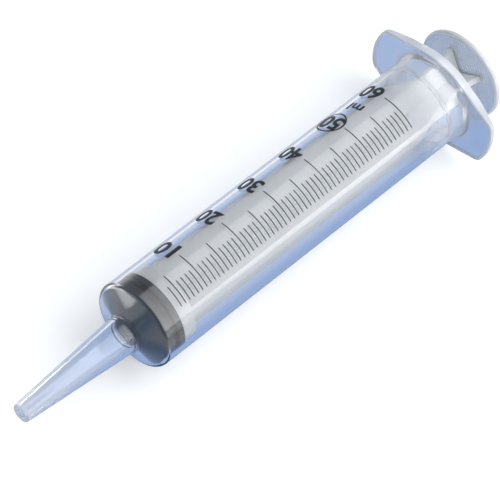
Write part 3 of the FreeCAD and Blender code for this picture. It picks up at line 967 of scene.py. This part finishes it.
kinds = {start: make_mark(start) for start in (TEN_START, FIVE_START, ONE_START)}
row = [copy_piece(kinds[mark_kind(volume)], x=volume * MILLILITRE)
       for volume in range(FIRST_MARK, LAST_MARK + 1)]
for kind in kinds.values():
    bpy.data.objects.remove(kind)
print("marks:", len(row))
marks = join(row, "scale_marks")
strips(marks)
roll_on(marks)
lay_down(marks, "barrel", "scale_ink")

# %% [markdown]
# ### Numbers
# The numbers are text made into a mesh, so they need no font. They stand across the tube
# with their tops towards the nozzle, and they are narrower and heavier than the plain font: the
# text's own bevel makes each stroke bolder, and the result is pressed flat again and squeezed to
# its size. A ring goes round the 50, and the unit stands between 50 and 60.

# %% Numbers
DIGIT_HEIGHT = 6.3
TEXT_SPAN = 8.0
TEXT_GAP = 1.7
TEXT_BOLD = 0.03
NUMBER_STEP = 10
UNIT_PLACE = 98.5
UNIT_HEIGHT = 3.6
UNIT_SPAN = 5.4
WRITING_START = TEN_START - TEXT_GAP


def make_text(words, height, span, middle, start):
    """Flat words that run around the tube from start, with their tops towards the nozzle."""
    object_mode()
    bpy.ops.object.text_add()
    text = bpy.context.object
    text.data.body = words
    text.data.fill_mode = "FRONT"
    text.data.bevel_resolution = 0
    text.data.bevel_depth = TEXT_BOLD
    bpy.ops.object.convert(target="MESH")
    text = bpy.context.object
    text.name = "number_" + words
    edit(text)
    bpy.ops.mesh.remove_doubles(threshold=NEAR)
    object_mode()
    low = Vector([min(point.co[axis] for point in text.data.vertices) for axis in range(3)])
    high = Vector([max(point.co[axis] for point in text.data.vertices) for axis in range(3)])
    for point in text.data.vertices:
        across_word = (point.co.x - low.x) / (high.x - low.x)
        up_word = (point.co.y - low.y) / (high.y - low.y)
        point.co = (middle + (0.5 - up_word) * height, start - across_word * span, 0)
    return text


numbers = []
for volume in range(NUMBER_STEP, LAST_MARK + 1, NUMBER_STEP):
    middle = ZERO_MARK + volume * MILLILITRE
    numbers.append(make_text(str(volume), DIGIT_HEIGHT, TEXT_SPAN, middle, WRITING_START))
numbers.append(make_text("ml", UNIT_HEIGHT, UNIT_SPAN, ZERO_MARK + UNIT_PLACE, WRITING_START))
print("numbers and unit:", len(numbers))

# %% [markdown]
# ### Ring
# The ring round the 50 is drawn as a full circle. Its face is inset and deleted, so that only the
# rim is left.

# %% Ring round the 50
RING_RADIUS = 4.9
RING_WIDTH = 0.55
RING_POINTS = 48
RINGED = 50


def make_ring(middle, around):
    """A flat ring: a disc's rim, left when its inset face is deleted."""
    object_mode()
    bpy.ops.mesh.primitive_circle_add(
        vertices=RING_POINTS, radius=RING_RADIUS, fill_type="NGON")
    ring = bpy.context.object
    edit(ring, "FACE")
    bpy.ops.mesh.inset(thickness=RING_WIDTH)
    bpy.ops.mesh.delete(type="FACE")
    bpy.ops.mesh.select_all(action="SELECT")
    bpy.ops.transform.translate(value=(middle, around, 0))
    object_mode()
    return ring


numbers.append(make_ring(ZERO_MARK + RINGED * MILLILITRE, WRITING_START - TEXT_SPAN / 2))
numbers = join(numbers, "scale_numbers")
strips(numbers)
roll_on(numbers)
lay_down(numbers, "barrel", "scale_ink")

# %% [markdown]
# ## Floor
# Clear plastic takes its colour from what lies behind it. The photograph was taken over pale blue
# paper and then cut out, so the floor is white to the camera, and pale blue to light that comes
# through the plastic. The blue lies only near the syringe and is narrower beside the nozzle, and
# reflections see it only in front of the syringe. A faint glow keeps the paper white to the camera
# without lighting the plastic.

# %% Floor
FLOOR_SIZE = 6
FLOOR_DROP = 0.00005
FLOOR_WHITE = colour(0.86, 0.87, 0.88)
FLOOR_GLOW = 0.42
PAPER_BLUE = colour(0.32, 0.43, 0.68)
PAPER_WHITE = colour(1.0, 1.0, 1.0)
BLUE_REACH = 0.030
BLUE_FADE = 0.020
BLUE_NARROW = 0.024
NOZZLE_BESIDE = -0.085, -0.05
SYRINGE_BEHIND = 0.012, 0.022


def make_floor():
    object_mode()
    bpy.ops.mesh.primitive_plane_add(size=FLOOR_SIZE)
    floor = bpy.context.object
    floor.name = "floor"
    edit(floor)
    bpy.ops.mesh.subdivide(number_cuts=3)
    bpy.ops.transform.translate(value=(0, 0, -FLOOR_DROP))
    object_mode()
    look = paint("floor_paper")
    seen = look.node("ShaderNodeLightPath", out="Is Camera Ray")
    through = look.node("ShaderNodeLightPath", out="Is Transmission Ray")
    glossy = look.node("ShaderNodeLightPath", out="Is Glossy Ray")
    place = look.node("ShaderNodeTexCoord", out="Object")
    side = look.part(place, "Y")
    by_nozzle = 1 - look.ramp(look.part(place, "X"), *NOZZLE_BESIDE)
    reach = look.math("ABSOLUTE", side, 0) + BLUE_NARROW * by_nozzle
    near = 1 - look.ramp(reach, BLUE_REACH, BLUE_REACH + BLUE_FADE)
    before = 1 - look.ramp(side, *SYRINGE_BEHIND)
    blue = near * look.math("MAXIMUM", through, before)
    paper = look.node("ShaderNodeBsdfDiffuse", {}, {"Color": FLOOR_WHITE})
    glow = look.node("ShaderNodeEmission", {}, {"Color": FLOOR_WHITE, "Strength": FLOOR_GLOW})
    seen_glow = look.node("ShaderNodeMixShader", {}, {0: seen, 2: glow})
    lit = look.node("ShaderNodeAddShader", {}, {0: paper, 1: seen_glow})
    behind = look.node("ShaderNodeEmission", {}, {"Color": look.mix(blue, PAPER_WHITE, PAPER_BLUE)})
    floor.data.materials.append(
        look.surface(look.blend(look.math("MAXIMUM", through, glossy), lit, behind)))


make_floor()
print("floor made")

# %% [markdown]
# ## World
# A dim, cool sky fills the shadows and shows in the plastic. The camera itself sees a pale wall
# where it looks past the paper.

# %% World
SKY_GLOW = 0.5
WALL_GLOW = 1.0


def make_world():
    world = bpy.data.worlds.new("studio")
    bpy.context.scene.world = world
    look = Paint(world)
    seen = look.node("ShaderNodeLightPath", out="Is Camera Ray")
    sky = look.node("ShaderNodeBackground", {}, {
        "Color": colour(0.80, 0.86, 0.95), "Strength": SKY_GLOW})
    wall = look.node("ShaderNodeBackground", {}, {
        "Color": colour(0.80, 0.81, 0.83), "Strength": WALL_GLOW})
    look.node("ShaderNodeOutputWorld", {}, {"Surface": look.blend(seen, sky, wall)})


make_world()
print("world made")

# %% [markdown]
# ## Camera
# The camera was found from the photograph: the printed marks are evenly spaced on a round tube,
# and only one camera shows them where the photograph does. It is a long lens, over a metre away,
# that looks at the syringe from the nozzle's side. Its numbers say how the axis crosses the
# picture, how far it leans away from the camera, and where the zero of the scale lies.

# %% Camera
PICTURE = 500
FOCAL_PIXELS = 3964.0
SENSOR = 36.0
AXIS_CLIMB = math.radians(37.82)
AXIS_AWAY = math.radians(28.40)
WINGS_TURNED = math.radians(17.5)
ZERO_ACROSS = -110.9
ZERO_DOWN = 72.0
DISTANCE = 1171.0
CLIP_FROM, CLIP_TO = 0.05, 20


def picture_axes():
    """The syringe's three axes as the camera sees them: to the right, down, and away."""
    axis = Vector((math.cos(AXIS_AWAY) * math.cos(AXIS_CLIMB),
                   -math.cos(AXIS_AWAY) * math.sin(AXIS_CLIMB), math.sin(AXIS_AWAY)))
    beside = Vector((math.sin(AXIS_CLIMB), math.cos(AXIS_CLIMB), 0))
    nearer = Vector((math.sin(AXIS_AWAY) * math.cos(AXIS_CLIMB),
                     -math.sin(AXIS_AWAY) * math.sin(AXIS_CLIMB), -math.cos(AXIS_AWAY)))
    wings = -(math.cos(WINGS_TURNED) * beside + math.sin(WINGS_TURNED) * nearer)
    above = math.cos(WINGS_TURNED) * nearer - math.sin(WINGS_TURNED) * beside
    return axis, wings, above


def make_camera():
    axis, wings, above = picture_axes()
    zero = Vector((ZERO_ACROSS, ZERO_DOWN, FOCAL_PIXELS)) * DISTANCE / FOCAL_PIXELS
    right, down, away = (Vector((axis[n], wings[n], above[n])) for n in range(3))
    eye = Vector((ZERO_MARK, 0, 0)) - Vector((zero.dot(axis), zero.dot(wings), zero.dot(above)))
    lens = bpy.data.cameras.new("camera")
    lens.sensor_width = SENSOR
    lens.lens = FOCAL_PIXELS / PICTURE * SENSOR
    lens.clip_start = CLIP_FROM
    lens.clip_end = CLIP_TO
    camera = bpy.data.objects.new("camera", lens)
    bpy.context.scene.collection.objects.link(camera)
    facing = Matrix((right, -down, -away)).transposed()
    camera.matrix_world = Matrix.Translation(LAID_DOWN @ eye) @ (TURN.to_3x3() @ facing).to_4x4()
    bpy.context.scene.camera = camera
    return camera


camera = make_camera()
place = [round(value, 3) for value in camera.location]
print("camera at", place, "lens", round(camera.data.lens, 1))

# %% [markdown]
# ## Lights
# Light that leaves a panel, meets the tube and goes on to the camera obeys the mirror law. A
# bright band in the photograph reaches from one angle around the tube to another, and the mirror
# law turns those two angles into the two long edges of a panel. Two bands make two panels: a large
# soft one that is dimmer at one side, and a low narrow one. Two small cards behind the nozzle do
# what white cards do in a studio: one lies on the paper and shines up, one stands, and both put
# bright lines into the clear edges.

# %% Panels and cards
PANEL_DISTANCE = 600.0
PANEL_LENGTH = 450.0
EVEN = 1.0


def make_light(name, width, length, radiance, dim_share, matrix):
    """An area light in metres, of even glow or dimmer at the side where its width starts."""
    light = bpy.data.lights.new(name, "AREA")
    light.shape = "RECTANGLE"
    light.size = width
    light.size_y = length
    light.energy = radiance * math.pi * width * length
    look = Paint(light)
    across_panel = look.part(look.node("ShaderNodeNewGeometry", out="Parametric"), "X")
    bright_share = 2 - dim_share
    shine = look.mix(across_panel, colour(dim_share, dim_share, dim_share),
                     colour(bright_share, bright_share, bright_share))
    glow = look.node("ShaderNodeEmission", {}, {"Color": shine})
    look.node("ShaderNodeOutputLight", {}, {"Surface": glow})
    lamp = bpy.data.objects.new(name, light)
    bpy.context.scene.collection.objects.link(lamp)
    lamp.matrix_world = matrix
    place = [round(value, 2) for value in lamp.location]
    print(name, round(width, 3), "by", round(length, 3), "m at", place)


def make_panel(name, band_from, band_to, radiance, dim_share):
    """A light whose mirror image on the tube fills the band between two angles."""
    middle_turn = FACING + math.radians(band_from + band_to)
    half_turn = math.radians(band_to - band_from)
    sideways = Vector((0, math.cos(middle_turn), math.sin(middle_turn)))
    way = math.sin(AXIS_AWAY) * Vector((1, 0, 0)) + math.cos(AXIS_AWAY) * sideways
    width = 2 * PANEL_DISTANCE * math.cos(AXIS_AWAY) * math.tan(half_turn)
    target = Vector(((CONE_END + MOUTH) / 2, 0, 0))
    edge = Vector((1, 0, 0)).cross(way).normalized()
    facing = Matrix((edge, way.cross(edge), way)).transposed()
    centre = Matrix.Translation(LAID_DOWN @ (target + PANEL_DISTANCE * way))
    make_light(name, width * MILLIMETRE, PANEL_LENGTH * MILLIMETRE, radiance, dim_share,
               centre @ (TURN.to_3x3() @ facing).to_4x4())


make_panel("soft_panel", band_from=-24, band_to=27.6, radiance=2.35, dim_share=0.5)
make_panel("low_panel", band_from=28.8, band_to=39, radiance=1.6, dim_share=EVEN)
FACE_UP = Matrix.Rotation(math.pi, 4, "X")
make_light("floor_card", width=0.09, length=0.05, radiance=2.4, dim_share=EVEN,
           matrix=Matrix.Translation((-0.105, 0.062, 0.003)) @ FACE_UP)
STOOD_UP = Matrix.Rotation(math.radians(-131), 4, "Z") @ Matrix.Rotation(math.radians(90), 4, "X")
make_light("standing_card", width=0.09, length=0.03, radiance=4.5, dim_share=EVEN,
           matrix=Matrix.Translation((-0.135, 0.075, 0.018)) @ STOOD_UP)
bpy.context.scene.view_settings.view_transform = "Standard"
